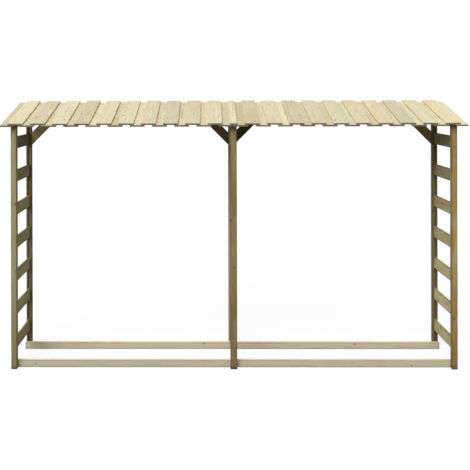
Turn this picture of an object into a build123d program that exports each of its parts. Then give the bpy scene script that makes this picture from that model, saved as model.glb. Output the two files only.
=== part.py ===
from build123d import *
import math
import os

# Log store: an open two bay shelter for firewood, with slatted ends and a board-on-board lean-to roof.
# Millimetres. X runs along the front, +Y points to the back, +Z is up.
# The origin is on the ground, below the middle of the roof.

# Overall sizes
overall_width = 3000.0
overall_depth = 440.0
overall_height = 1732.0
roof_pitch = 18.0

# How far the roof runs past the outer faces of the posts
end_overhang = 58.0
front_overhang = 42.0
rear_overhang = 34.0

# Posts: eased edges, the same depth throughout, and a groove in the end ones that takes the slats
end_post_width = 38.0
centre_post_width = 44.0
post_depth = 28.0
post_edge_radius = 2.0
groove_depth = 10.0
slat_side_clearance = 0.3

# Slats that close the two ends, evenly spread from the lowest up to the headroom under the roof
slat_count = 7
slat_height = 80.0
slat_thickness = 12.0
lowest_slat_height = 119.0
top_slat_headroom = 85.0
slat_edge_chamfer = 1.0

# Rails on the ground that carry the logs
rail_height = 45.0
rail_thickness = 28.0
rail_edge_radius = 2.0

# Timber under the roof
rafter_depth = 25.0
front_purlin_width = 45.0
front_purlin_depth = 28.0
front_purlin_setback = 115.0
rear_purlin_height = 70.0
purlin_edge_chamfer = 1.5

# Knee braces between the rear posts and the rear purlins. The rise is from the foot up to the purlin
brace_width = 62.0
brace_thickness = 18.0
brace_rise = 206.0
brace_angle = 45.0
brace_edge_radius = 2.0

# Roof boards: a spaced lower layer with a narrower board at each end, and an upper layer over its gaps.
# The spacing is the one aimed at, and is evened out so that the last board ends flush with the roof
board_width = 96.0
board_thickness = 12.0
board_spacing = 142.5
end_board_width = 75.0
centre_strip_width = 45.0
board_edge_chamfer = 1.0

# Lengths and places that follow from the sizes above
slope = math.radians(roof_pitch)
end_board_x = overall_width / 2 - end_board_width
boards_per_half = round(end_board_x / board_spacing) + 1
board_pitch = end_board_x / (boards_per_half - 1)
board_length = (overall_depth - 2 * board_thickness * math.sin(slope)) / math.cos(slope)
eave_y = -overall_depth / 2 + 2 * board_thickness * math.sin(slope)
eave_z = overall_height - board_length * math.sin(slope) - 2 * board_thickness * math.cos(slope)
roof_underside = Plane(
    origin=(0, eave_y, eave_z),
    x_dir=(1, 0, 0),
    z_dir=(0, -math.sin(slope), math.cos(slope)),
)

frame_end_x = overall_width / 2 - end_overhang
end_post_x = frame_end_x - end_post_width / 2
front_post_y = -overall_depth / 2 + front_overhang + post_depth / 2
rear_post_y = overall_depth / 2 - rear_overhang - post_depth / 2
front_posts_back = front_post_y + post_depth / 2
rear_posts_front = rear_post_y - post_depth / 2
bay_inner_x = centre_post_width / 2
bay_outer_x = frame_end_x - end_post_width
bay_length = bay_outer_x - bay_inner_x
bay_centre_x = (bay_inner_x + bay_outer_x) / 2

groove_width = slat_thickness + 2 * slat_side_clearance
slat_front = front_posts_back - groove_depth
slat_back = rear_posts_front + groove_depth
slat_length = slat_back - slat_front
slat_centre_y = (slat_front + slat_back) / 2


def underside_height(y):
    """Height of the underside of the roof at a place across the depth of the store."""
    return eave_z + (y - eave_y) * math.tan(slope)


top_slat_height = underside_height(front_posts_back) - top_slat_headroom - slat_height
slat_pitch = (top_slat_height - lowest_slat_height) / (slat_count - 1)
rear_purlin_bottom = underside_height(rear_post_y + post_depth / 2) - rear_purlin_height
brace_foot_height = rear_purlin_bottom - brace_rise


def save(piece, name):
    """Labels a finished piece and writes its STEP file."""
    piece.part.label = name
    export_step(piece.part, f"parts/{name}.step")


def make_post(x, y, width, groove_towards):
    """A post with its top cut to the roof slope. groove_towards is +1 or -1 along Y, or 0 for no groove."""
    with BuildPart() as post:
        with BuildSketch() as section:
            with Locations((x, y)):
                Rectangle(width, post_depth)
            fillet(section.vertices(), post_edge_radius)
            if groove_towards:
                with Locations((x, y + groove_towards * (post_depth - groove_depth) / 2)):
                    Rectangle(groove_width, groove_depth, mode=Mode.SUBTRACT)
        extrude(amount=overall_height)
        split(bisect_by=roof_underside, keep=Keep.BOTTOM)
    return post


def make_slat(side, number):
    """One horizontal slat of an end, with its ends seated in the grooves of the two corner posts."""
    bottom = lowest_slat_height + (number - 1) * slat_pitch
    with BuildPart() as slat:
        with BuildSketch(Plane.XY.offset(bottom)):
            with Locations((side * end_post_x, slat_centre_y)):
                Rectangle(slat_thickness, slat_length)
        extrude(amount=slat_height)
        chamfer(slat.edges().filter_by(Axis.Y), slat_edge_chamfer)
    return slat


def make_base_rail(side, y):
    """A rail lying on the ground from the middle of the store to the outer face of the end posts."""
    with BuildPart() as rail:
        with BuildSketch():
            with Locations((side * frame_end_x / 2, y)):
                Rectangle(frame_end_x, rail_thickness)
        extrude(amount=rail_height)
        fillet(rail.edges().filter_by(Axis.X), rail_edge_radius)
    return rail


def make_rafter(x, width):
    """A shallow rafter from a front post to a rear post, flush with the underside of the boards."""
    drop = rafter_depth / math.cos(slope)
    with BuildPart() as rafter:
        with BuildSketch(Plane.YZ.offset(x)):
            with BuildLine():
                Polyline(
                    (front_posts_back, underside_height(front_posts_back)),
                    (rear_posts_front, underside_height(rear_posts_front)),
                    (rear_posts_front, underside_height(rear_posts_front) - drop),
                    (front_posts_back, underside_height(front_posts_back) - drop),
                    close=True,
                )
            make_face()
        extrude(amount=width / 2, both=True)
    return rafter


def make_front_purlin(side):
    """A batten under the boards, between two rafters and set back from the eave."""
    with BuildPart() as purlin:
        with BuildSketch(roof_underside):
            with Locations((side * bay_centre_x, front_purlin_setback + front_purlin_width / 2)):
                Rectangle(bay_length, front_purlin_width)
        extrude(amount=-front_purlin_depth)
        chamfer(purlin.faces().sort_by(Axis.Z)[0].edges().filter_by(Axis.X), purlin_edge_chamfer)
    return purlin


def make_rear_purlin(side):
    """A purlin between two rear posts, with its top cut to the roof slope."""
    with BuildPart() as purlin:
        with BuildSketch(Plane.XY.offset(rear_purlin_bottom)):
            with Locations((side * bay_centre_x, rear_post_y)):
                Rectangle(bay_length, post_depth)
        extrude(amount=overall_height - rear_purlin_bottom)
        split(bisect_by=roof_underside, keep=Keep.BOTTOM)
        chamfer(purlin.faces().sort_by(Axis.Z)[0].edges().filter_by(Axis.X), purlin_edge_chamfer)
    return purlin


def make_brace(post_face_x, direction):
    """A knee brace from the side of a rear post up to the purlin, with both ends cut to seat flat."""
    angle = math.radians(brace_angle)
    upright_cut = brace_width / math.cos(angle)
    level_cut = brace_width / math.sin(angle)
    reach = brace_rise / math.tan(angle)
    along = Axis((0, 0, 0), (direction * math.cos(angle), 0, math.sin(angle)))
    with BuildPart() as brace:
        with BuildSketch(Plane.XZ.offset(-rear_post_y)):
            with BuildLine():
                Polyline(
                    (post_face_x, brace_foot_height),
                    (post_face_x + direction * reach, rear_purlin_bottom),
                    (post_face_x + direction * (reach - level_cut), rear_purlin_bottom),
                    (post_face_x, brace_foot_height + upright_cut),
                    close=True,
                )
            make_face()
        extrude(amount=brace_thickness / 2, both=True)
        fillet(brace.edges().filter_by(along), brace_edge_radius)
    return brace


def lower_board_span(number):
    """Inner and outer edge of a lower board, from the middle of the roof. The last one is ripped narrower."""
    inner = (number - 1) * board_pitch
    width = end_board_width if number == boards_per_half else board_width
    return inner, inner + width


def upper_board_span(number):
    """Inner and outer edge of the upper board that covers the gap beyond a lower board."""
    gap_centre = (lower_board_span(number)[1] + lower_board_span(number + 1)[0]) / 2
    return gap_centre - board_width / 2, gap_centre + board_width / 2


def make_boards(side, spans, layer):
    """The boards of one half and one layer of the roof: layer 0 lies on the frame, layer 1 on layer 0."""
    with BuildPart() as boards:
        with BuildSketch(roof_underside.offset(layer * board_thickness)):
            for inner, outer in spans:
                with Locations((side * (inner + outer) / 2, board_length / 2)):
                    Rectangle(outer - inner, board_length)
        extrude(amount=board_thickness)
        slope_edges = boards.edges().filter_by(Axis((0, 0, 0), tuple(roof_underside.y_dir)))
        chamfer(slope_edges, board_edge_chamfer)
    return boards


os.makedirs("parts", exist_ok=True)

# Posts
for row, y, groove_towards in (("front", front_post_y, 1), ("rear", rear_post_y, -1)):
    save(make_post(-end_post_x, y, end_post_width, groove_towards), f"{row}_left_post")
    save(make_post(0, y, centre_post_width, 0), f"{row}_centre_post")
    save(make_post(end_post_x, y, end_post_width, groove_towards), f"{row}_right_post")

# Base rails, against the inner faces of the posts
front_rail_y = front_posts_back + rail_thickness / 2
rear_rail_y = rear_posts_front - rail_thickness / 2
for row, y in (("front", front_rail_y), ("rear", rear_rail_y)):
    for side_name, side in (("left", -1), ("right", 1)):
        save(make_base_rail(side, y), f"{row}_{side_name}_base_rail")

# Slats of the two ends, counted from the ground
for side_name, side in (("left", -1), ("right", 1)):
    for number in range(1, slat_count + 1):
        save(make_slat(side, number), f"{side_name}_slat_{number}")

# Rafters and purlins
save(make_rafter(-end_post_x, end_post_width), "left_rafter")
save(make_rafter(0, centre_post_width), "centre_rafter")
save(make_rafter(end_post_x, end_post_width), "right_rafter")
for side_name, side in (("left", -1), ("right", 1)):
    save(make_front_purlin(side), f"front_{side_name}_purlin")
    save(make_rear_purlin(side), f"rear_{side_name}_purlin")

# Knee braces
save(make_brace(-bay_outer_x, 1), "left_end_brace")
save(make_brace(-bay_inner_x, -1), "centre_left_brace")
save(make_brace(bay_inner_x, 1), "centre_right_brace")
save(make_brace(bay_outer_x, -1), "right_end_brace")

# Roof boards, in two halves that meet under a cover strip
lower_spans = [lower_board_span(number) for number in range(1, boards_per_half + 1)]
upper_spans = [upper_board_span(number) for number in range(1, boards_per_half)]
for side_name, side in (("left", -1), ("right", 1)):
    save(make_boards(side, lower_spans, 0), f"{side_name}_roof_lower_boards")
    save(make_boards(side, upper_spans, 1), f"{side_name}_roof_upper_boards")
save(make_boards(1, [(-centre_strip_width / 2, centre_strip_width / 2)], 1), "roof_centre_strip")
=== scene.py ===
import math
import random

import bpy
import numpy as np
from mathutils import Matrix, Vector


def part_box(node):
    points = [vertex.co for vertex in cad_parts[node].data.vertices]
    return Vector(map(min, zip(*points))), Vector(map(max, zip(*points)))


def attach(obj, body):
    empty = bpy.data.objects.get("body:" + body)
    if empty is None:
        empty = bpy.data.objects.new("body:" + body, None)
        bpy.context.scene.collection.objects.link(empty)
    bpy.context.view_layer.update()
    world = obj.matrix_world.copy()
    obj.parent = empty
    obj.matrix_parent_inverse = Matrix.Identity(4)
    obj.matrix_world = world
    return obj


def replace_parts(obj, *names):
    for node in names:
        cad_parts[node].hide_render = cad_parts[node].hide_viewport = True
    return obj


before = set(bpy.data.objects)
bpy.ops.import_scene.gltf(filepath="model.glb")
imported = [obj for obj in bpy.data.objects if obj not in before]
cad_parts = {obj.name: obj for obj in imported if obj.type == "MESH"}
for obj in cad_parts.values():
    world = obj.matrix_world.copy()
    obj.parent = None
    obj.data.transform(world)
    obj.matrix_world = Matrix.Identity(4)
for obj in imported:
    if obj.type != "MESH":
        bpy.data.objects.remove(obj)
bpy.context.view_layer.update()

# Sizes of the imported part, in metres
SLOPE = math.radians(18)
BOARD_WIDTH = 0.096
BOARD_THICKNESS = 0.012
BOARD_PITCH = 0.1425
BOARDS_PER_HALF = 11
STRIP_WIDTH = 0.045
GROOVE_WIDTH = 0.0126
GROOVE_DEPTH = 0.010
BRACE_WIDTH = 0.062
SLATS_PER_END = 7
FRONT_PURLIN_MIDDLE = 0.1375

# How far apart the points of a timber mesh are, across and along it
ACROSS_STEP = 0.0027
ALONG_STEP = 0.014

# How deep its surface is worn: by the saw, at the arrises, at a knot and at the cut ends
RELIEF = 0.00035
ARRIS_WEAR = 0.0011
KNOT_DIP = 0.0003
END_EASE = 0.0008

# The layers of the saw's marks, each with its share and its scales across and along the timber, and
# the scales of the chips on the arrises
SAW_MARKS = ((0.45, 260, 9), (0.25, 700, 30), (0.6, 25, 4))
ARRIS_CHIPS = (40, 22)

# For each kind of timber, the radius of its arrises in metres and its knots per metre
TIMBER = {
    "post": (0.002, 1.4),
    "rail": (0.002, 1.2),
    "slat": (0.0012, 3.5),
    "rafter": (0.0012, 2.5),
    "purlin": (0.0015, 2.0),
    "brace": (0.002, 5.0),
    "board": (0.0013, 1.8),
}

# The arc of an arris starts no further from the corner than this share of the shorter side
ARC_SHARE_OF_SIDE = 0.3

# Knots show on the faces of a timber whose normals point at least this much along its direction b
KNOT_FACE = 0.9

# Allowance for rounding
TINY = 1e-6

# Drying cracks. A pair is the lowest and the highest value drawn, in metres or as a share of the face.
# They get longer with timber of up to 1.5 m, and reach their depth after a fifth of their length.
CRACK_COUNT = (2, 5)
CRACK_LENGTH = (0.05, 0.24)
CRACK_GROWS_UP_TO = 1.5
CRACK_CHANCE_AT_END = 0.55
CRACK_PAST_END = 0.01
CRACK_PLACE = (0.15, 0.85)
CRACK_HALF_WIDTH = (0.0003, 0.0006)
CRACK_DEPTH = (0.0008, 0.0022)
CRACK_TO_ARRIS = 0.004
CRACK_TO_POINT = 0.0012
CRACK_TAPER = 5

# Knots, with their reaches in radii of the knot, and the pith that the growth rings go round
KNOT_COUNT_SPREAD = (0.6, 1.4)
KNOT_ACROSS = 0.42
KNOT_TO_END = 0.03
KNOT_RADIUS = (0.0025, 0.0065)
KNOTS_APART = 0.06
KNOT_REACH = 9.0
KNOT_DIP_REACH = 1.6
PITH_OUTSIDE = (0.01, 0.06)
PHASE_RANGE = 40

# The way to the nearest knot and its radius, for a point that has none near
FAR = 1.0
NO_KNOT = (FAR, FAR, 0.001)

# Between two faces that meet at more than this angle the shading has an edge
SHARP_ANGLE = math.radians(42)

# Lightness and warmth of single pieces, from 0 to 1 within their timber's range, or past it.
# The upper slats are set darker as painted shade under the roof, the lower right slats lighter as
# painted light, the left end brace lighter as painted light and the centre right brace darker as
# painted shade.
# The other pieces draw theirs at random.
PIECE_TONES_AND_PAINTED_SHADE = {
    "front_left_post": (0.74, -0.10),
    "front_centre_post": (-0.05, 1.05),
    "front_right_post": (0.78, 1.20),
    "rear_left_post": (-0.60, 0.70),
    "rear_centre_post": (1.60, -0.60),
    "rear_right_post": (-0.50, 0.40),
    "left_end_brace": (5.4, -0.60),
    "centre_left_brace": (-0.1, 0.80),
    "centre_right_brace": (-1.3, 0.60),
    "right_end_brace": (1.3, 1.00),
    "left_slat_7": (-2.2, 1.20),
    "left_slat_6": (-0.9, 1.00),
    "left_slat_5": (0.0, 0.30),
    "left_slat_4": (-0.1, 0.80),
    "left_slat_1": (-0.3, 0.90),
    "right_slat_7": (-1.2, 0.90),
    "right_slat_6": (-0.5, 1.20),
    "right_slat_5": (0.5, 0.90),
    "right_slat_4": (0.6, 0.60),
    "right_slat_3": (1.2, 0.40),
    "right_slat_2": (1.4, 0.40),
    "right_slat_1": (0.9, 0.50),
}

X, Y, Z = Vector((1, 0, 0)), Vector((0, 1, 0)), Vector((0, 0, 1))
up_slope = Vector((0, math.cos(SLOPE), math.sin(SLOPE)))
roof_normal = Vector((0, -math.sin(SLOPE), math.cos(SLOPE)))

# Large numbers that scatter the cells of the noise
CELL_MIX = (73856093, 19349663, 83492791)
SEED_MIX = 2654435761
LAST_MIX = 1274126177


def lattice_noise(points, seed):
    """Smooth random values between 0 and 1 at an array of points, the same every run."""
    cell = np.floor(points).astype(np.int64)
    part = points - cell
    part = part * part * (3 - 2 * part)
    total = np.zeros(len(points))
    for corner in np.ndindex(2, 2, 2):
        mixed = (cell + np.array(corner)) * np.array(CELL_MIX)
        mixed = mixed[:, 0] ^ mixed[:, 1] ^ mixed[:, 2] ^ (seed * SEED_MIX)
        mixed = (mixed ^ (mixed >> 13)) * LAST_MIX
        value = ((mixed ^ (mixed >> 16)) & 0xFFFF) / 0xFFFF
        weight = np.ones(len(points))
        for k in range(3):
            weight = weight * (part[:, k] if corner[k] else 1 - part[:, k])
        total += weight * value
    return total


def rounded_corners(corners, radius):
    """The arc at each corner of a section, as points with their normals. Hollow corners stay sharp."""
    arcs = []
    for i, corner in enumerate(corners):
        before = corners[i - 1] - corner
        after = corners[(i + 1) % len(corners)] - corner
        before_length, after_length = np.linalg.norm(before), np.linalg.norm(after)
        before, after = before / before_length, after / after_length
        turn = after[0] * before[1] - after[1] * before[0]
        if turn <= TINY:
            arcs.append([(corner, None)])
            continue
        half = math.acos(np.clip(before @ after, -1, 1)) / 2
        r = min(radius, ARC_SHARE_OF_SIDE * min(before_length, after_length) * math.tan(half))
        start = corner + before * r / math.tan(half)
        end = corner + after * r / math.tan(half)
        centre = corner + (before + after) / np.linalg.norm(before + after) * r / math.sin(half)
        middle = centre + (corner - centre) / np.linalg.norm(corner - centre) * r
        arcs.append([(p, (p - centre) / r) for p in (start, middle, end)])
    return arcs


def outline(corners, radius, cracks):
    """Points round a section. Each has its place, its outward normal, the number of its face or -1 on
    an arris, its distance to the arris, and the number of the crack that runs there or 0."""
    corners = [np.array(c, float) for c in corners]
    arcs = rounded_corners(corners, radius)
    points = []
    for i, here in enumerate(arcs):
        first, last = here[-1][0], arcs[(i + 1) % len(arcs)][0][0]
        length = np.linalg.norm(last - first)
        along = (last - first) / length
        normal = np.array((along[1], -along[0]))
        for place, direction in here:
            points.append((place, normal if direction is None else direction, -1, 0.0, 0))
        steps = max(2, math.ceil(length / ACROSS_STEP))
        stops = [(s, 0) for s in np.linspace(0, length, steps + 1)[1:-1]]
        for number, crack in enumerate(cracks, 1):
            s = crack["at"] * length
            if crack["face"] == i and CRACK_TO_ARRIS < s < length - CRACK_TO_ARRIS:
                stops = [stop for stop in stops if abs(stop[0] - s) > CRACK_TO_POINT]
                stops += [(s - crack["half"], 0), (s, number), (s + crack["half"], 0)]
        for s, number in sorted(stops):
            points.append((first + along * s, normal, i, min(s, length - s), number))
    return points


def draw_cracks(rng, faces, length):
    """Drying cracks: face, place across it, half the width, stretch along the timber and depth."""
    cracks = []
    for _ in range(rng.randint(*CRACK_COUNT)):
        long = rng.uniform(*CRACK_LENGTH) * (1 + min(length, CRACK_GROWS_UP_TO))
        first = rng.uniform(0, max(CRACK_PAST_END, length - long))
        if rng.random() < CRACK_CHANCE_AT_END:
            first = rng.choice((-CRACK_PAST_END, length - long + CRACK_PAST_END))
        cracks.append({
            "face": rng.randrange(faces),
            "at": rng.uniform(*CRACK_PLACE),
            "half": rng.uniform(*CRACK_HALF_WIDTH),
            "first": first,
            "last": first + long,
            "depth": rng.uniform(*CRACK_DEPTH),
        })
    return cracks


def draw_knots(rng, per_metre, width, length):
    """Knots: place across and along the timber, and radius. One that would meet another is left out."""
    knots = []
    for _ in range(round(per_metre * length * rng.uniform(*KNOT_COUNT_SPREAD))):
        across = rng.uniform(-KNOT_ACROSS, KNOT_ACROSS) * width
        up = rng.uniform(KNOT_TO_END, length - KNOT_TO_END)
        size = rng.uniform(*KNOT_RADIUS)
        if all(abs(up - other[1]) > KNOTS_APART for other in knots):
            knots.append((across, up, size))
    return knots


def place_knots(knots, a, local, shows_knots, sunk):
    """Adds the hollow at each knot to sunk, and returns each point's way to the nearest knot and that
    one's radius. Past its reach a knot leaves no trace, so that no false one shows before the next."""
    layer = np.full((*a.shape, 3), NO_KNOT)
    nearest = np.full(a.shape, FAR)
    for across, up, size in knots:
        away = np.stack((a - across, local - up, np.full_like(a, size)), -1)
        distance = np.hypot(away[..., 0], away[..., 1])
        sunk += shows_knots * KNOT_DIP * np.exp(-((distance / (KNOT_DIP_REACH * size)) ** 2))
        nearer = shows_knots & (distance < nearest) & (distance < KNOT_REACH * size)
        nearest[nearer] = distance[nearer]
        layer[nearer] = away[nearer]
    return layer


def tube_faces(first_point, rows, columns):
    """The faces between the rows of points round a length of timber, and those of its two ends."""
    i, j = np.meshgrid(np.arange(rows - 1), np.arange(columns), indexing="ij")
    here, beside = first_point + i * columns + j, first_point + i * columns + (j + 1) % columns
    quads = np.stack((here, beside, beside + columns, here + columns), -1).reshape(-1, 4)
    end_dirt_and_shade = np.arange(columns)[::-1] + first_point
    far_end = np.arange(columns) + first_point + (rows - 1) * columns
    return quads, (end_dirt_and_shade, far_end)


class Store:
    """The points, faces and attributes of one node's timber while its lengths are added."""

    def __init__(self):
        self.count = 0
        self.points, self.quads, self.ends = [], [], []
        self.attributes = {name: [] for name in ("grain", "knot", "tone", "edge")}


def add_stick(store, kind, place, corners, start, end, seed, tone=None):
    """Adds one length of sawn timber. place is its origin, the directions a and b of its section, and
    its axis. start and end say where its ends are along the axis: at the middle of the section, and the
    change per a and per b."""
    rng = random.Random(seed)
    radius, knots_per_metre = TIMBER[kind]
    width, depth = np.ptp(corners, axis=0)
    length = end[0] - start[0]
    cracks = draw_cracks(rng, len(corners), length)
    knots = draw_knots(rng, knots_per_metre, width, length)
    pith_side = rng.choice((-1, 1))
    pith = (rng.uniform(-0.5, 0.5) * width, pith_side * (depth / 2 + rng.uniform(*PITH_OUTSIDE)))
    phase = rng.uniform(0, PHASE_RANGE)
    drawn = (rng.random(), rng.random(), rng.random())
    # A tone given for a single piece carries painted shade for the darker slats and braces and painted
    # light for the lighter ones
    tones = drawn if tone is None else (*tone, drawn[2])

    # A grid of points: a row at each step along the timber, and a column for each point round it
    around = outline(corners, radius, cracks)
    section, normals, face, to_arris, crack_of = (np.array(part) for part in zip(*around))
    steps = max(3, math.ceil(length / ALONG_STEP))
    ease = END_EASE / length
    shares = np.concatenate(([0.0, ease], np.linspace(0, 1, steps + 1)[1:-1], [1 - ease, 1.0]))
    shape = (len(shares), len(section))
    first = start[0] + section @ start[1:]
    last = end[0] + section @ end[1:]
    along = first + shares[:, None] * (last - first)
    local = along - start[0]
    a, b = (np.broadcast_to(section[:, k], shape) for k in (0, 1))
    on_arris = np.broadcast_to(face == -1, shape)
    shows_knots = np.broadcast_to(np.abs(normals[:, 1]) > KNOT_FACE, shape)

    def noise(across_scale, along_scale, step):
        spots = np.stack((a * across_scale, b * across_scale, along * along_scale + phase), -1)
        return lattice_noise(spots.reshape(-1, 3), seed + step).reshape(shape)

    # How far each point lies under the CAD surface: saw marks, worn arrises, cracks and knots
    layers = enumerate(SAW_MARKS, 1)
    sunk = RELIEF * sum(share * noise(*scales, step) for step, (share, *scales) in layers)
    sunk += on_arris * ARRIS_WEAR * noise(*ARRIS_CHIPS, len(SAW_MARKS) + 1) ** 3
    for number, crack in enumerate(cracks, 1):
        t = (local - crack["first"]) / (crack["last"] - crack["first"])
        taper = np.clip(np.minimum(t, 1 - t) * CRACK_TAPER, 0, 1)
        sunk += (crack_of == number) * taper * crack["depth"]
    knot_layer = place_knots(knots, a, local, shows_knots, sunk)
    sunk[[0, -1]] += END_EASE

    origin, a_dir, b_dir, axis = (np.array(v, float) for v in place)
    points = origin + (a - normals[:, 0] * sunk)[..., None] * a_dir
    points = points + (b - normals[:, 1] * sunk)[..., None] * b_dir + along[..., None] * axis
    to_end = np.minimum(local, length - local).clip(0, 1)
    attributes = {
        "grain": np.stack((a - pith[0], b - pith[1], along + phase), -1),
        "knot": knot_layer,
        "tone": np.broadcast_to(tones, (*shape, 3)),
        "edge": np.stack((np.broadcast_to(to_arris, shape), to_end, on_arris * 1.0), -1),
    }
    for name, values in attributes.items():
        store.attributes[name].append(values.reshape(-1, 3))
    quads, ends = tube_faces(store.count, *shape)
    # Where the three directions are left-handed, the faces are turned to look outwards
    turned = -1 if np.cross(a_dir, b_dir) @ axis < 0 else 1
    store.points.append(points.reshape(-1, 3))
    store.quads.append(quads[:, ::turned])
    store.ends += [end_face[::turned].tolist() for end_face in ends]
    store.count += len(shares) * len(section)


def finish_piece(name, mesh):
    """Smooths a mesh between its sharp edges and makes it a piece that rides with the part."""
    mesh.polygons.foreach_set("use_smooth", np.ones(len(mesh.polygons), dtype=bool))
    mesh.update()
    mesh.set_sharp_from_angle(angle=SHARP_ANGLE)
    piece = bpy.data.objects.new(name, mesh)
    bpy.context.scene.collection.objects.link(piece)
    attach(piece, "root")
    return piece


def timber(node, store, slot, side_material, end_material):
    """Makes the piece that stands for one node from its lengths of timber."""
    quads = np.concatenate(store.quads)
    faces = quads.tolist() + store.ends
    mesh = bpy.data.meshes.new(node + "_timber")
    mesh.from_pydata(np.concatenate(store.points).tolist(), [], faces)
    mesh.materials.append(side_material)
    mesh.materials.append(end_material)
    is_end = np.zeros(len(faces), dtype=np.int32)
    is_end[len(quads):] = 1
    mesh.polygons.foreach_set("material_index", is_end)
    for name, values in store.attributes.items():
        layer = mesh.attributes.new(name, "FLOAT_VECTOR", "POINT")
        layer.data.foreach_set("vector", np.concatenate(values).astype(np.float32).ravel())
    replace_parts(finish_piece(node + "_timber", mesh), node)


def rectangle(half_a, half_b):
    """The corners of a section, in the order that the outline goes round."""
    return [(-half_a, -half_b), (half_a, -half_b), (half_a, half_b), (-half_a, half_b)]


class Tree:
    """Short calls for the shader nodes of a material or of the world."""

    def __init__(self, owner):
        owner.use_nodes = True
        self.owner = owner
        self.nodes = owner.node_tree.nodes
        self.links = owner.node_tree.links

    def node(self, kind, **settings):
        made = self.nodes.new(kind)
        for key, value in settings.items():
            setattr(made, key, value)
        return made

    def plug(self, value, socket):
        if isinstance(value, bpy.types.NodeSocket):
            self.links.new(value, socket)
        else:
            socket.default_value = value

    def math(self, operation, *values, clamp=False):
        made = self.node("ShaderNodeMath", operation=operation, use_clamp=clamp)
        for value, socket in zip(values, made.inputs):
            self.plug(value, socket)
        return made.outputs[0]

    def add(self, a, b, clamp=False):
        return self.math("ADD", a, b, clamp=clamp)

    def minus(self, a, b):
        return self.math("SUBTRACT", a, b)

    def times(self, a, b, clamp=False):
        return self.math("MULTIPLY", a, b, clamp=clamp)

    def length(self, vector):
        made = self.node("ShaderNodeVectorMath", operation="LENGTH")
        self.plug(vector, made.inputs[0])
        return made.outputs["Value"]

    def attribute(self, name):
        """The three numbers of a mesh attribute."""
        return self.split(self.node("ShaderNodeAttribute", attribute_name=name).outputs["Vector"])

    def position(self):
        """The three coordinates of the shaded point, in metres."""
        return self.split(self.node("ShaderNodeNewGeometry").outputs["Position"])

    def split(self, vector):
        made = self.node("ShaderNodeSeparateXYZ")
        self.plug(vector, made.inputs[0])
        return made.outputs

    def join(self, x, y, z):
        made = self.node("ShaderNodeCombineXYZ")
        for value, socket in zip((x, y, z), made.inputs):
            self.plug(value, socket)
        return made.outputs[0]

    def noise(self, place, across, along, detail=2.0, roughness=0.5, shift=0.0):
        """Noise at a place in the timber, stretched by its scales across and along the grain."""
        made = self.node("ShaderNodeTexNoise")
        spot = self.join(
            self.add(self.times(place[0], across), shift),
            self.times(place[1], across),
            self.add(self.times(place[2], along), shift),
        )
        self.plug(spot, made.inputs["Vector"])
        made.inputs["Scale"].default_value = 1.0
        made.inputs["Detail"].default_value = detail
        made.inputs["Roughness"].default_value = roughness
        return made.outputs["Fac"]

    def step(self, value, low, high):
        """0 up to low and 1 from high on, with a smooth change between."""
        made = self.node("ShaderNodeMapRange", interpolation_type="SMOOTHSTEP")
        self.plug(value, made.inputs["Value"])
        made.inputs["From Min"].default_value = low
        made.inputs["From Max"].default_value = high
        return made.outputs["Result"]

    def fade(self, value, low, high):
        """1 up to low and 0 from high on, with a smooth change between."""
        return self.minus(1.0, self.step(value, low, high))

    def band(self, value, low, high, out_low, out_high):
        """1 between high and out_low, falling to 0 at low and out_high."""
        return self.times(self.step(value, low, high), self.fade(value, out_low, out_high))

    def mix(self, factor, a, b):
        """Colour a where the factor is 0 and colour b where it is 1."""
        made = self.node("ShaderNodeMix", data_type="RGBA")
        self.plug(factor, made.inputs["Factor"])
        for value, socket in ((a, made.inputs[6]), (b, made.inputs[7])):
            self.plug(value if isinstance(value, bpy.types.NodeSocket) else (*value, 1.0), socket)
        return made.outputs[2]

    def seen(self):
        """1 for rays from the camera, also by way of a mirror or glass, and 0 for the others."""
        path = self.node("ShaderNodeLightPath").outputs
        indirect = self.math("MAXIMUM", path["Is Glossy Ray"], path["Is Transmission Ray"])
        return self.math("MAXIMUM", path["Is Camera Ray"], indirect)

    def surface(self, colour, value, roughness, specular, height, depth):
        """Sets the shader: its colour times a value, its roughness, and the bump of a height."""
        shader = self.nodes["Principled BSDF"]
        shade = self.node("ShaderNodeHueSaturation")
        self.plug(colour, shade.inputs["Color"])
        self.plug(value, shade.inputs["Value"])
        self.plug(shade.outputs["Color"], shader.inputs["Base Color"])
        self.plug(roughness, shader.inputs["Roughness"])
        shader.inputs["Specular IOR Level"].default_value = specular
        bump = self.node("ShaderNodeBump")
        bump.inputs["Strength"].default_value = BUMP_STRENGTH
        bump.inputs["Distance"].default_value = depth
        self.plug(height, bump.inputs["Height"])
        self.plug(bump.outputs["Normal"], shader.inputs["Normal"])
        return self.owner


def linear(red, green, blue):
    """A colour written as 0 to 255 screen values, as the shaders take it."""
    values = (red / 255, green / 255, blue / 255)
    return tuple(v / 12.92 if v <= 0.04045 else ((v + 0.055) / 1.055) ** 2.4 for v in values)


def scaled(colour, share):
    return tuple(share * v for v in colour)


# How the wood is drawn. The scales of its noises are across and along the grain, per metre
BUMP_STRENGTH = 0.55
RING_SPACE = 0.0042
RING_BEND = 0.030
RING_BEND_SCALES = (9.0, 1.3)
RING_PULL = 3.0
FIBRE_SCALES = (900.0, 16.0)
STREAK_SCALES = (130.0, 3.0)
BLOT_SCALES = (14.0, 4.0)
PATCH_EDGE = (0.52, 0.74)
DIRT_AND_SHADE_BASE = 0.45

# Heights at which the darkening towards the bottom fades, and those at which the darker foot does
LOW_DARKENING_FADE = (0.05, 0.70)
FOOT_FADE = (0.004, 0.030)


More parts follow.
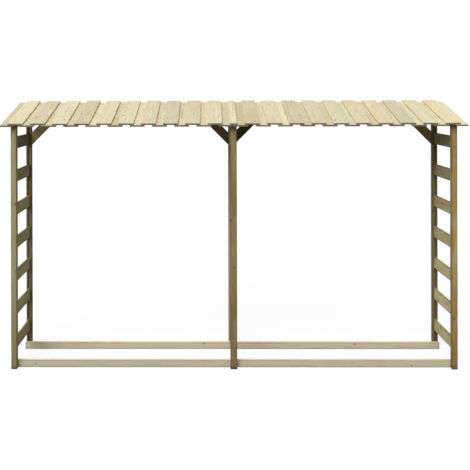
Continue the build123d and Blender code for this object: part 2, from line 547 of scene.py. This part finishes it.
def wood(name, light, dark, knot, warm, green, arris, tone_range, patches, arris_share,
         arris_width=0.0035, end_share=0.25, end_reach=0.012, low_darkening=0.0, rings=0.35):
    """Side grain of sawn, treated softwood. light and dark are the early and late wood, warm and
    green the patches of heartwood and of the treatment, and arris the colour of the arrises: dirt with
    painted shade along the edges where it is dark, wear with a painted highlight where it is pale."""
    t = Tree(bpy.data.materials.new(name))
    grain, knots, tones, edge = (t.attribute(layer) for layer in ("grain", "knot", "tone", "edge"))
    lightness, warmth, chance = tones
    shift = t.times(chance, 37.0)

    # Growth rings: the distance from the pith, bent by slow noise and pulled round the knots
    bent = []
    for k in range(2):
        bend = t.noise(grain, *RING_BEND_SCALES, shift=t.add(shift, 5.7 * k))
        bent.append(t.add(grain[k], t.times(t.minus(bend, 0.5), RING_BEND)))
    radius = t.length(t.join(bent[0], bent[1], 0.0))
    knot_size = t.math("DIVIDE", t.length(t.join(knots[0], t.times(knots[1], 0.8), 0.0)), knots[2])
    pull = t.math("EXPONENT", t.times(t.math("POWER", knot_size, 1.3), -0.35))
    ring = t.math("FRACT", t.add(t.math("DIVIDE", radius, RING_SPACE), t.times(pull, RING_PULL)))
    late = t.band(ring, 0.25, 0.92, 0.93, 1.0)

    # Fibres and long streaks that run along the piece
    fibre = t.noise(grain, *FIBRE_SCALES, detail=3.0, roughness=0.6)
    streak = t.noise(grain, *STREAK_SCALES, detail=3.0, roughness=0.55)
    share = t.add(t.times(late, rings), t.times(t.minus(fibre, 0.5), 0.30))
    share = t.add(share, t.times(t.minus(streak, 0.5), 0.75), clamp=True)
    colour = t.mix(share, light, dark)

    # Patches: warm where the blots are high, green where they are low
    blot = t.noise(grain, *BLOT_SCALES, detail=3.0, roughness=0.55, shift=shift)
    tilt = t.times(t.minus(warmth, 0.5), 0.25)
    is_warm = t.step(t.add(blot, tilt), *PATCH_EDGE)
    is_green = t.step(t.minus(t.minus(1.0, blot), tilt), *PATCH_EDGE)
    colour = t.mix(t.times(is_warm, patches), colour, warm)
    colour = t.mix(t.times(is_green, patches), colour, green)

    # Knots, with rings inside and a dark rim
    inside = t.fade(knot_size, 0.82, 1.05)
    rim = t.band(knot_size, 0.70, 0.95, 1.0, 1.35)
    heart = t.math("SINE", t.times(knot_size, 26.0))
    colour = t.mix(t.times(inside, t.add(0.74, t.times(heart, 0.12))), colour, knot)
    colour = t.mix(t.times(rim, 0.55), colour, scaled(knot, 0.4))

    # Arrises tinted towards the arris colour: dirt with painted shade along the edges where it is dark,
    # wear with a painted highlight where it is pale. Darkening near the sawn ends, dirt that on the
    # posts is also painted shade under the eave at their tops. Darker colour towards the bottom, and a
    # darker foot
    # A mottle that breaks up the arris and end marks, which are dirt and in places painted shade
    dirt = t.add(blot, DIRT_AND_SHADE_BASE)
    on_arris = t.times(t.fade(edge[0], 0.0, arris_width), arris_share)
    colour = t.mix(t.times(on_arris, dirt, clamp=True), colour, arris)
    # Darkening near the sawn ends: dirt, and on the posts, with their wide reach, also painted shade
    # under the eave at the top
    end_dirt_and_shade = t.times(t.fade(edge[1], 0.0, end_reach), end_share)
    colour = t.mix(t.times(end_dirt_and_shade, dirt, clamp=True), colour, scaled(dark, 0.45))
    # Darker towards the bottom, and darker still at the foot
    if low_darkening:
        ragged = t.add(t.position()[2], t.times(t.minus(streak, 0.5), 0.05))
        colour = t.mix(t.times(t.fade(ragged, *LOW_DARKENING_FADE), 0.6 * low_darkening), colour, scaled(dark, 0.8))
        colour = t.mix(t.times(t.fade(ragged, *FOOT_FADE), low_darkening), colour, scaled(green, 0.35))

    # The lightness scales the whole colour, so for the darker set pieces it is painted shade and for
    # the lighter ones painted light
    value = t.add(t.times(lightness, tone_range), 1.0 - tone_range / 2)
    roughness = t.add(t.times(t.minus(fibre, 0.5), 0.25), 0.80, clamp=True)
    height = t.minus(t.add(t.times(late, 0.5), t.times(fibre, 0.9)), t.times(rim, 0.8))
    return t.surface(colour, value, roughness, 0.25, height, 0.0005)


def end_grain(name, light, dark):
    """Sawn end grain: arcs of growth rings, pores, and saw marks across."""
    t = Tree(bpy.data.materials.new(name))
    grain, tones = t.attribute("grain"), t.attribute("tone")
    radius = t.length(t.join(grain[0], grain[1], 0.0))
    wobble = t.times(t.noise(grain, 60.0, 60.0), 0.7)
    ring = t.math("FRACT", t.add(t.math("DIVIDE", radius, RING_SPACE), wobble))
    late = t.band(ring, 0.3, 0.9, 0.93, 1.0)
    pores = t.noise(grain, 2200.0, 2200.0, detail=1.0)
    saw = t.noise([t.times(grain[0], 0.07), grain[1], grain[2]], 900.0, 0.0)
    share = t.add(t.times(late, 0.55), t.times(t.minus(pores, 0.35), 0.6), clamp=True)
    colour = t.mix(share, light, dark)
    colour = t.mix(t.times(t.step(saw, 0.45, 0.75), 0.35), colour, dark)
    value = t.add(t.times(tones[0], 0.3), 0.85)
    height = t.add(t.times(saw, 0.6), t.times(pores, 0.5))
    return t.surface(colour, value, 0.92, 0.2, height, 0.0004)


def zinc(name):
    """Galvanised steel, blotched by the weather and dull with dirt."""
    t = Tree(bpy.data.materials.new(name))
    place = t.position()
    spangle = t.noise(place, 700.0, 700.0, detail=1.0)
    blot = t.noise(place, 90.0, 90.0)
    colour = t.mix(t.step(spangle, 0.35, 0.65), linear(160, 154, 138), linear(182, 176, 158))
    colour = t.mix(t.times(t.step(blot, 0.40, 0.65), 0.6), colour, linear(126, 110, 84))
    t.nodes["Principled BSDF"].inputs["Metallic"].default_value = 0.35
    roughness = t.add(t.times(blot, 0.35), 0.42)
    return t.surface(colour, 1.0, roughness, 0.5, spangle, 0.0001)


# The roof's pale arrises are wear and also a painted highlight along the edges
roof_wood = wood(
    "roof_timber",
    light=linear(230, 221, 190), dark=linear(180, 160, 112), knot=linear(150, 112, 74),
    warm=linear(222, 197, 155), green=linear(208, 212, 170), arris=linear(232, 222, 188),
    tone_range=0.18, patches=0.55, arris_share=0.45, rings=0.34,
)
# The posts' strong, wide darkening near their ends is painted shade under the eave at the top, and a
# darker band at the foot
post_wood = wood(
    "post_timber",
    light=linear(188, 172, 124), dark=linear(138, 113, 67), knot=linear(96, 68, 42),
    warm=linear(170, 131, 79), green=linear(160, 157, 123), arris=linear(66, 54, 32),
    tone_range=0.30, patches=0.8, arris_share=0.6, arris_width=0.005,
    end_share=0.7, end_reach=0.045, low_darkening=0.85,
)
rail_wood = wood(
    "rail_timber",
    light=linear(240, 226, 198), dark=linear(204, 184, 148), knot=linear(140, 102, 72),
    warm=linear(232, 200, 170), green=linear(214, 210, 176), arris=linear(118, 112, 88),
    tone_range=0.14, patches=0.6, arris_share=0.75, low_darkening=0.2,
)
slat_wood = wood(
    "slat_timber",
    light=linear(214, 202, 154), dark=linear(168, 150, 100), knot=linear(104, 76, 48),
    warm=linear(192, 156, 108), green=linear(172, 172, 124), arris=linear(84, 76, 48),
    tone_range=0.26, patches=0.65, arris_share=0.7, arris_width=0.007,
)
brace_wood = wood(
    "brace_timber",
    light=linear(150, 135, 98), dark=linear(102, 84, 52), knot=linear(70, 48, 30),
    warm=linear(128, 98, 66), green=linear(110, 106, 76), arris=linear(40, 34, 22),
    tone_range=0.40, patches=0.6, arris_share=0.5,
)
frame_wood = wood(
    "frame_timber",
    light=linear(190, 178, 138), dark=linear(140, 124, 84), knot=linear(100, 70, 44),
    warm=linear(166, 138, 100), green=linear(146, 146, 106), arris=linear(70, 60, 38),
    tone_range=0.16, patches=0.5, arris_share=0.4,
)
roof_end = end_grain("roof_end_grain", light=linear(178, 166, 126), dark=linear(118, 104, 70))
post_end = end_grain("post_end_grain", light=linear(140, 126, 86), dark=linear(88, 72, 44))
nail_steel = zinc("nail_steel")

# Every length of timber apart from the boards takes the next of these
seeds = iter(range(101, 200))


def upright_post(node, towards):
    """A post with its top cut to the roof slope, and a groove towards the slats where it has one."""
    low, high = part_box(node)
    half_w, half_d = (high.x - low.x) / 2, (high.y - low.y) / 2
    half_g, bottom = GROOVE_WIDTH / 2, half_d - GROOVE_DEPTH
    groove = [(half_g, half_d), (half_g, bottom), (-half_g, bottom), (-half_g, half_d)]
    corners = rectangle(half_w, half_d)
    if towards > 0:
        corners[3:3] = groove
    elif towards < 0:
        corners[1:1] = [(-a, -b) for a, b in groove]
    place = (((low.x + high.x) / 2, (low.y + high.y) / 2, 0), X, Y, Z)
    tangent = math.tan(SLOPE)
    top = (high.z - half_d * tangent, 0, tangent)
    store = Store()
    add_stick(store, "post", place, corners, (0, 0, 0), top, next(seeds), PIECE_TONES_AND_PAINTED_SHADE.get(node))
    timber(node, store, "posts", post_wood, post_end)


def level_stick(node, kind, slot, materials, a_dir, b_dir, axis):
    """A length of timber that fills its node's box, square to the axes. materials are for its sides
    and its ends."""
    low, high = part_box(node)
    size, middle = high - low, (low + high) / 2
    corners = rectangle(abs(size.dot(a_dir)) / 2, abs(size.dot(b_dir)) / 2)
    length = size.dot(axis)
    place = (middle - axis * length / 2, a_dir, b_dir, axis)
    store = Store()
    add_stick(store, kind, place, corners, (0, 0, 0), (length, 0, 0), next(seeds), PIECE_TONES_AND_PAINTED_SHADE.get(node))
    timber(node, store, slot, *materials)


def rafter(node):
    """A rafter between a front and a rear post, with upright ends."""
    low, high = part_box(node)
    run, tangent = high.y - low.y, math.tan(SLOPE)
    drop = (high.z - low.z) - run * tangent
    corners = rectangle((high.x - low.x) / 2, drop * math.cos(SLOPE) / 2)
    place = (((low.x + high.x) / 2, low.y, low.z + drop / 2), X, roof_normal, up_slope)
    far_end = (run / math.cos(SLOPE), 0, tangent)
    store = Store()
    add_stick(store, "rafter", place, corners, (0, 0, tangent), far_end, next(seeds))
    timber(node, store, "roof_frame", frame_wood, post_end)


def front_purlin(node):
    """The batten that lies in the slope of the roof. Its section is worked out from its box."""
    low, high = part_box(node)
    rise, run = high.z - low.z, high.y - low.y
    cos, sin = math.cos(SLOPE), math.sin(SLOPE)
    width = (run * cos - rise * sin) / (cos * cos - sin * sin)
    depth = (rise * cos - run * sin) / (cos * cos - sin * sin)
    corners = rectangle(width / 2, depth / 2)
    place = ((low.x, (low.y + high.y) / 2, (low.z + high.z) / 2), up_slope, roof_normal, X)
    store = Store()
    add_stick(store, "purlin", place, corners, (0, 0, 0), (high.x - low.x, 0, 0), next(seeds))
    timber(node, store, "roof_frame", frame_wood, post_end)


def rear_purlin(node):
    """The upright purlin, with its top cut to the slope of the roof."""
    low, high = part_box(node)
    half_d, height = (high.y - low.y) / 2, high.z - low.z
    front_height = height - 2 * half_d * math.tan(SLOPE)
    corners = [(-half_d, 0), (half_d, 0), (half_d, height), (-half_d, front_height)]
    place = ((low.x, (low.y + high.y) / 2, low.z), Y, Z, X)
    store = Store()
    add_stick(store, "purlin", place, corners, (0, 0, 0), (high.x - low.x, 0, 0), next(seeds))
    timber(node, store, "roof_frame", frame_wood, post_end)


# How far the screws are from the pointed ends of a brace, and the place and direction of each screw
SCREW_FROM_TIP = 0.034
brace_screws = []


def brace(node, direction):
    """A knee brace, with an upright cut at the post and a level cut under the purlin."""
    low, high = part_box(node)
    half_w, half_t = BRACE_WIDTH / 2, (high.y - low.y) / 2
    post_x = low.x if direction > 0 else high.x
    foot = Vector((post_x, (low.y + high.y) / 2, low.z + half_w * math.sqrt(2)))
    axis = Vector((direction, 0, 1)).normalized()
    down = Vector((direction, 0, -1)).normalized()
    length = (high.z - foot.z) * math.sqrt(2)
    place = (foot, down, axis.cross(down), axis)
    corners = rectangle(half_w, half_t)
    store = Store()
    add_stick(store, "brace", place, corners, (0, -1, 0), (length, 1, 0), next(seeds), PIECE_TONES_AND_PAINTED_SHADE.get(node))
    timber(node, store, "braces", brace_wood, post_end)
    for along in (SCREW_FROM_TIP - half_w, length + half_w - SCREW_FROM_TIP):
        brace_screws.append((foot + axis * along + down * half_w, down))


for row, towards in (("front", 1), ("rear", -1)):
    upright_post(f"{row}_left_post", towards)
    upright_post(f"{row}_centre_post", 0)
    upright_post(f"{row}_right_post", towards)
for row in ("front", "rear"):
    for side in ("left", "right"):
        level_stick(f"{row}_{side}_base_rail", "rail", "base_rails", (rail_wood, roof_end), -Z, Y, X)
for side in ("left", "right"):
    for number in range(1, SLATS_PER_END + 1):
        level_stick(f"{side}_slat_{number}", "slat", "slats", (slat_wood, post_end), Z, X, Y)
for across in ("left", "centre", "right"):
    rafter(f"{across}_rafter")
for side in ("left", "right"):
    front_purlin(f"front_{side}_purlin")
    rear_purlin(f"rear_{side}_purlin")
brace("left_end_brace", 1)
brace("centre_left_brace", -1)
brace("centre_right_brace", 1)
brace("right_end_brace", -1)

# The eave below the boards, the length of the boards and half the width of the roof
roof_low, roof_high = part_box("left_roof_lower_boards")
eave = Vector((0, roof_low.y + BOARD_THICKNESS * math.sin(SLOPE), roof_low.z))
board_length = (roof_high.y - eave.y) / math.cos(SLOPE)
half_roof = -roof_low.x

# The boards: by how much one may be short at the eave and at the back, how far the browner middle of
# the roof reaches to each side, and where the seeds of each layer start
SHORT_AT_EAVE = 0.003
SHORT_AT_BACK = 0.005
BROWNER_WITHIN = 0.9
LOWER_SEED = 300
UPPER_SEED = 400
STRIP_SEED = 500


def add_board(store, inner, outer, layer, seed):
    """One board, from its inner to its outer edge, cut a little short of its full length."""
    rng = random.Random(seed * 7 + 3)
    middle = eave + X * ((inner + outer) / 2) + roof_normal * (BOARD_THICKNESS * (layer + 0.5))
    corners = rectangle(abs(outer - inner) / 2, BOARD_THICKNESS / 2)
    # The boards near the middle of the roof are a little darker and browner
    share = max(0.0, 1 - abs(middle.x) / BROWNER_WITHIN)
    lightness = 1.3 * rng.random() - 0.1 - 0.3 * share
    warmth = 0.1 + 0.9 * rng.random() + 0.2 * share
    start = (rng.uniform(0, SHORT_AT_EAVE), 0, 0)
    end = (board_length - rng.uniform(0, SHORT_AT_BACK), 0, 0)
    place = (middle, X, roof_normal, up_slope)
    add_stick(store, "board", place, corners, start, end, seed, (lightness, warmth))


def upper_centre(number):
    """The middle of the upper board over the gap beyond a lower board."""
    return ((number - 1) * BOARD_PITCH + BOARD_WIDTH + number * BOARD_PITCH) / 2


for side, sign in (("left", -1), ("right", 1)):
    lower, upper = Store(), Store()
    for number in range(1, BOARDS_PER_HALF + 1):
        seed = number * 2 + (sign > 0)
        inner = (number - 1) * BOARD_PITCH
        outer = min(inner + BOARD_WIDTH, half_roof)
        add_board(lower, sign * inner, sign * outer, 0, LOWER_SEED + seed)
        if number < BOARDS_PER_HALF:
            inner = upper_centre(number) - BOARD_WIDTH / 2
            outer = upper_centre(number) + BOARD_WIDTH / 2
            add_board(upper, sign * inner, sign * outer, 1, UPPER_SEED + seed)
    timber(f"{side}_roof_lower_boards", lower, "roof_boards", roof_wood, roof_end)
    timber(f"{side}_roof_upper_boards", upper, "roof_boards", roof_wood, roof_end)
strip = Store()
add_board(strip, -STRIP_WIDTH / 2, STRIP_WIDTH / 2, 1, STRIP_SEED)
timber("roof_centre_strip", strip, "roof_boards", roof_wood, roof_end)

# Heads of nails and screws. The arms of a screw's cross recess are shares of the head's radius
NAIL_RADIUS = 0.0034
SCREW_RADIUS = 0.0042
ARM_LENGTH = 0.52
ARM_HALF_WIDTH = 0.13
RECESS_FLOOR = 0.8
OFF_MARK = 0.002

# The angles of the points of a ring, so that each corner of the cross has one
arm_angle = math.atan2(ARM_HALF_WIDTH, ARM_LENGTH)
quarter = [0, arm_angle, (arm_angle + math.pi / 4) / 2, math.pi / 4]
quarter += [math.pi / 2 - angle for angle in (quarter[2], arm_angle)]
angles = [turn * math.pi / 2 + angle for turn in range(4) for angle in quarter]


def cross_reach(angle):
    """How far the cross recess reaches at an angle, as a share of the head's radius."""
    cos, sin = abs(math.cos(angle)), abs(math.sin(angle))
    near, far = min(cos, sin), max(cos, sin)
    return ARM_LENGTH / far if near / far <= math.tan(arm_angle) + TINY else ARM_HALF_WIDTH / near


def ring(share, height):
    """A round ring of a head: the share of the radius at each angle, and the height in metres."""
    return [share] * len(angles), height


# A nail has a flat head with a soft rim, and a screw a low round one with a cross recess
NAIL_RINGS = [
    ring(1.0, -0.0006), ring(1.0, 0.0004), ring(0.90, 0.0007), ring(0.55, 0.0008), ring(0.20, 0.00075),
]
cross = [cross_reach(angle) for angle in angles]
SCREW_RINGS = [
    ring(1.0, -0.0006), ring(1.0, 0.0004), ring(0.93, 0.0010), ring(0.78, 0.0014),
    (cross, 0.0016), ([RECESS_FLOOR * reach for reach in cross], 0.0005),
]


def add_head(points, faces, middle, normal, radius, rings, turn):
    """Adds one head at a place on a surface."""
    side = normal.orthogonal().normalized()
    other = normal.cross(side)
    base, count = len(points), len(angles)
    for shares, height in rings:
        for angle, share in zip(angles, shares):
            across = side * math.cos(angle + turn) + other * math.sin(angle + turn)
            points.append(middle + across * radius * share + normal * height)
    for i in range(len(rings) - 1):
        here, above = base + i * count, base + (i + 1) * count
        for j in range(count):
            k = (j + 1) % count
            faces.append((here + j, here + k, above + k, above + j))
    # The last ring is closed by a fan, because some of its points may lie in a straight line
    last_ring = base + (len(rings) - 1) * count
    points.append(middle + normal * rings[-1][1])
    faces += [(last_ring + j, last_ring + (j + 1) % count, last_ring + count) for j in range(count)]
    faces.append(tuple(base + j for j in reversed(range(count))))


def heads(name, places, radius, rings, seed):
    """Makes one piece of the heads at a list of places and normals, each a little off its mark."""
    rng = random.Random(seed)
    points, faces = [], []
    for middle, normal in places:
        side = normal.orthogonal().normalized()
        middle = middle + side * rng.uniform(-OFF_MARK, OFF_MARK)
        middle = middle + normal.cross(side) * rng.uniform(-OFF_MARK, OFF_MARK)
        add_head(points, faces, middle, normal, radius, rings, rng.uniform(0, math.pi))
    mesh = bpy.data.meshes.new(name)
    mesh.from_pydata([tuple(p) for p in points], [], faces)
    mesh.materials.append(nail_steel)
    finish_piece(name, mesh)


# The two lines of nails, over the front and the rear purlins, measured up the slope from the eave
post_low, post_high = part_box("rear_left_post")
rear_line = ((post_low.y + post_high.y) / 2 - eave.y) / math.cos(SLOPE)
nail_lines = (FRONT_PURLIN_MIDDLE, rear_line)
EDGE_TO_NAIL = 0.012


def roof_nails(name, sign, seed):
    """Two nails across each upper board and one in the open part of each lower board, on both lines."""
    reach = BOARD_WIDTH / 2 - EDGE_TO_NAIL
    places = []
    for number in range(1, BOARDS_PER_HALF + 1):
        spots = []
        if number > 1:
            spots.append(((number - 1) * BOARD_PITCH + BOARD_WIDTH / 2, 1))
        if number < BOARDS_PER_HALF:
            spots += [(upper_centre(number) - reach, 2), (upper_centre(number) + reach, 2)]
        for x, layers in spots:
            for line in nail_lines:
                height = roof_normal * (BOARD_THICKNESS * layers)
                places.append((eave + X * (sign * x) + up_slope * line + height, roof_normal))
    heads(name, places, NAIL_RADIUS, NAIL_RINGS, seed)


roof_nails("left_roof_nails", -1, seed=11)
roof_nails("right_roof_nails", 1, seed=12)
roof_top = roof_normal * (BOARD_THICKNESS * 2)
strip_places = [(eave + up_slope * line + roof_top, roof_normal) for line in nail_lines]
heads("strip_nails", strip_places, NAIL_RADIUS, NAIL_RINGS, seed=13)

# Screws through each post into its ground rails: how far across from its middle, and how high up
POST_SCREWS = {
    "left": ((-0.008, 0.014), (0.008, 0.031)),
    "right": ((-0.008, 0.031), (0.008, 0.014)),
    "centre": ((-0.012, 0.022), (0.012, 0.022)),
}
screw_places = []
for row, outward in (("front", -Y), ("rear", Y)):
    for across, offsets in POST_SCREWS.items():
        low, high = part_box(f"{row}_{across}_post")
        face_y = low.y if row == "front" else high.y
        for x, z in offsets:
            screw_places.append((Vector(((low.x + high.x) / 2 + x, face_y, z)), outward))
heads("post_screws", screw_places, SCREW_RADIUS, SCREW_RINGS, seed=14)
heads("brace_screws", brace_screws, SCREW_RADIUS, SCREW_RINGS, seed=15)

# Floor, white where the camera sees it lit. The light that it gives back to the part is dimmer.
FLOOR_REACH = 60
FLOOR_BOUNCE = (0.22, 0.215, 0.21)
FLOOR_SHADOW = 0.20
FLOOR_GLOW = 0.83
floor_mesh = bpy.data.meshes.new("floor")
floor_corners = [(x, y, 0) for x, y in rectangle(FLOOR_REACH, FLOOR_REACH)]
floor_mesh.from_pydata(floor_corners, [], [(0, 1, 2, 3)])
floor = bpy.data.objects.new("floor", floor_mesh)
bpy.context.scene.collection.objects.link(floor)
ft = Tree(bpy.data.materials.new("floor_white"))
ft.nodes.remove(ft.nodes["Principled BSDF"])
dull, lit = ft.node("ShaderNodeBsdfDiffuse"), ft.node("ShaderNodeBsdfDiffuse")
glow = ft.node("ShaderNodeEmission")
both, blend = ft.node("ShaderNodeAddShader"), ft.node("ShaderNodeMixShader")
dull.inputs["Color"].default_value = (*FLOOR_BOUNCE, 1)
lit.inputs["Color"].default_value = (FLOOR_SHADOW, FLOOR_SHADOW, FLOOR_SHADOW, 1)
glow.inputs["Strength"].default_value = FLOOR_GLOW
ft.plug(lit.outputs[0], both.inputs[0])
ft.plug(glow.outputs[0], both.inputs[1])
ft.plug(ft.seen(), blend.inputs[0])
ft.plug(dull.outputs[0], blend.inputs[1])
ft.plug(both.outputs[0], blend.inputs[2])
ft.plug(blend.outputs[0], ft.nodes["Material Output"].inputs["Surface"])
floor_mesh.materials.append(ft.owner)

# World: light that is strongest overhead, and white where the camera sees it
SKY_LOW = 0.10
SKY_HIGH = 0.50
world = bpy.data.worlds.new("world")
bpy.context.scene.world = world
wt = Tree(world)
direction = wt.split(wt.node("ShaderNodeTexCoord").outputs["Generated"])
upward = wt.math("MAXIMUM", direction[2], 0.0)
sky = wt.add(wt.times(wt.times(upward, upward), SKY_HIGH), SKY_LOW)
seen = wt.seen()
background = wt.nodes["Background"]
background.inputs["Color"].default_value = (1, 1, 1, 1)
wt.plug(wt.add(wt.times(sky, wt.minus(1.0, seen)), seen), background.inputs["Strength"])


def lamp(name, towards, strength, angle):
    """A soft lamp far away in one direction. angle is how wide it looks from the part, in degrees."""
    data = bpy.data.lights.new(name, "SUN")
    data.energy = strength
    data.angle = math.radians(angle)
    made = bpy.data.objects.new(name, data)
    made.rotation_euler = Vector(towards).to_track_quat("Z", "Y").to_euler()
    bpy.context.scene.collection.objects.link(made)


# A key lamp from the upper left, in front, and a low fill behind, under the slope of the roof
lamp("key", towards=(-0.30, -0.60, 0.74), strength=2.3, angle=48)
lamp("fill", towards=(-0.14, 0.97, 0.18), strength=0.9, angle=30)

# Camera, level, from the photograph's perspective. Its focal length and the point straight ahead are in
# pixels of the frame, its angles in radians and its place in metres. A shift brings that point to its
# place in the frame.
FRAME_SIZE = 470
FOCAL = 605.72
CENTRE = (201.96, 92.26)
TURN = -0.00716
ROLL = -0.00246
CAMERA_X = -0.1741
CAMERA_TO_EAVE = 3.8777
EYE_HEIGHT = 1.7901
SENSOR_WIDTH = 36.0
CLIP_END = 200
camera_data = bpy.data.cameras.new("camera")
camera_data.sensor_width = SENSOR_WIDTH
camera_data.lens = FOCAL / FRAME_SIZE * SENSOR_WIDTH
camera_data.shift_x = (FRAME_SIZE / 2 - CENTRE[0]) / FRAME_SIZE
camera_data.shift_y = (CENTRE[1] - FRAME_SIZE / 2) / FRAME_SIZE
camera_data.clip_end = CLIP_END
camera = bpy.data.objects.new("camera", camera_data)
forward = Vector((math.sin(TURN), math.cos(TURN), 0))
basis = Matrix((forward.cross(Z), Z, -forward)).transposed() @ Matrix.Rotation(ROLL, 3, "Z")
eye = (CAMERA_X, eave.y - CAMERA_TO_EAVE, EYE_HEIGHT)
camera.matrix_world = Matrix.Translation(eye) @ basis.to_4x4()
bpy.context.scene.collection.objects.link(camera)
bpy.context.scene.camera = camera
bpy.context.scene.view_settings.view_transform = "Standard"
